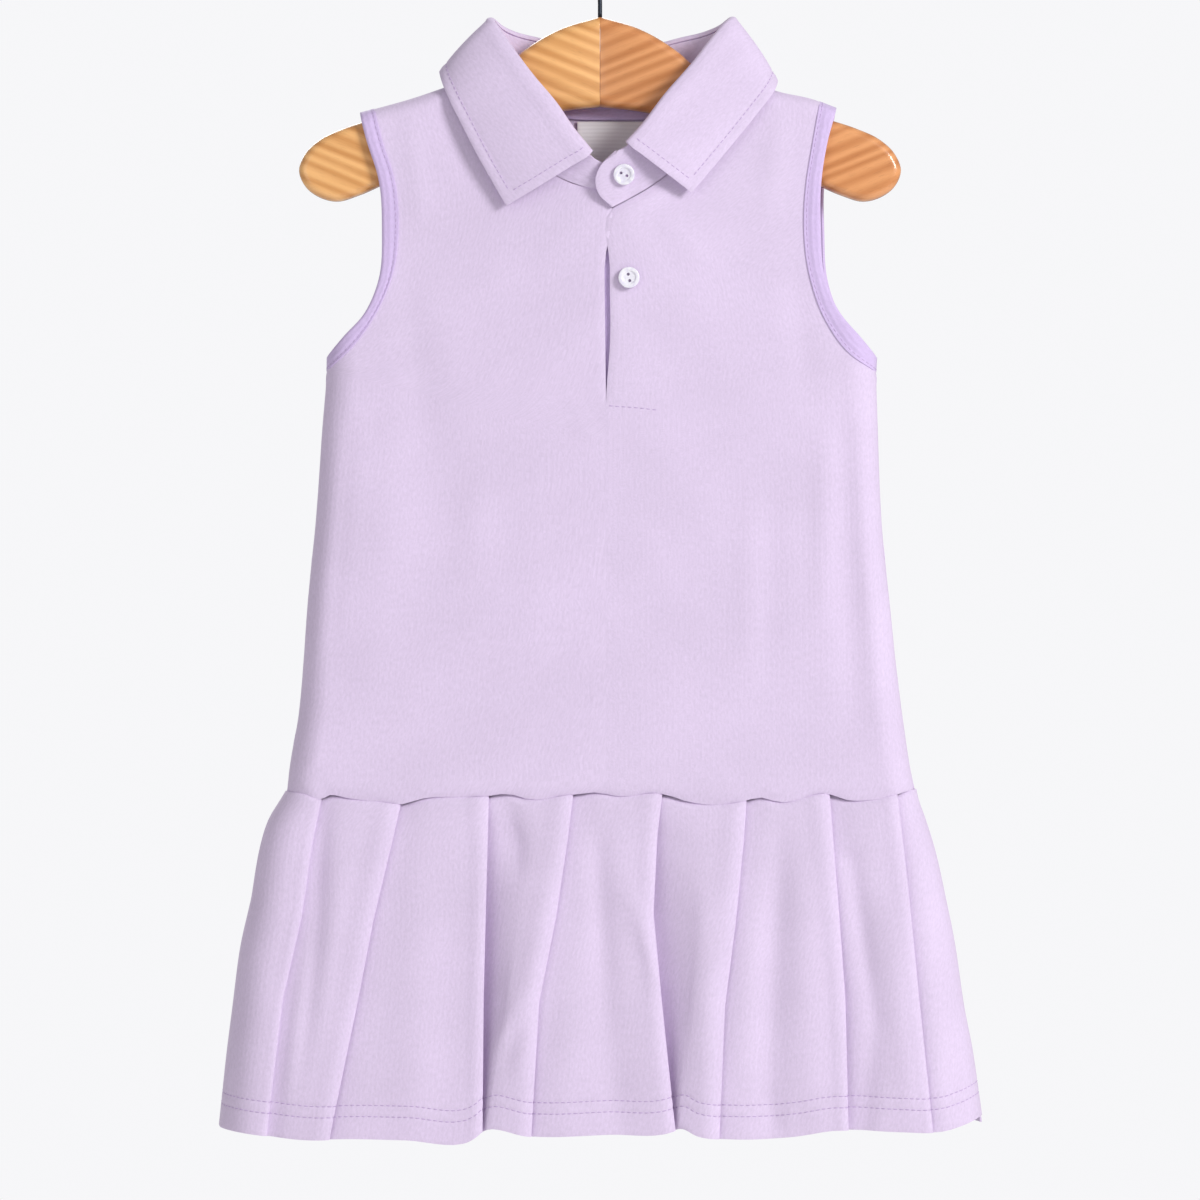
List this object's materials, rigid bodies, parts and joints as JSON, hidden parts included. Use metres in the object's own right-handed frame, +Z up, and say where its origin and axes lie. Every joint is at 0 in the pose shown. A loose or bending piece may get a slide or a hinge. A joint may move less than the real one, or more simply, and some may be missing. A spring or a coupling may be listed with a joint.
{
  "type": "sleeveless tennis dress on a wooden hanger",
  "caption": "Child's sleeveless polo dress with a short placket, bound armholes, dropped waist and knife-pleated skirt, hung open on a flat wooden hanger with a wire hook.",
  "frame": {"origin": "The underside of the hook's crown, where a rail bears, in the middle plane of the hanger.", "axes": "+Z is up, the front of the dress faces -Y, and +X is the viewer's right."},
  "size_m": [0.3868, 0.0545, 0.6295],
  "materials": {
    "lavender_knit": "matt cotton pique knit",
    "lavender_trim": "matt cotton rib and twill tape",
    "white_label": "smooth woven satin",
    "pearl_button": "polished pearl polyester",
    "varnished_wood": "clear gloss varnish on pale hardwood",
    "black_wire": "black plated steel wire"
  },
  "bodies": {
    "root": {"front_body": "lavender_knit", "back_body": "lavender_knit", "armhole_binding_left": "lavender_trim", "armhole_binding_right": "lavender_trim", "collar_stand": "lavender_knit", "collar_fall": "lavender_knit", "placket_under": "lavender_trim", "neck_tape": "lavender_trim", "label": "white_label", "skirt_front": "lavender_knit", "skirt_back": "lavender_knit", "hanger": "varnished_wood", "hook": "black_wire", "button_top": "pearl_button", "button_lower": "pearl_button"}
  },
  "joints": []
}
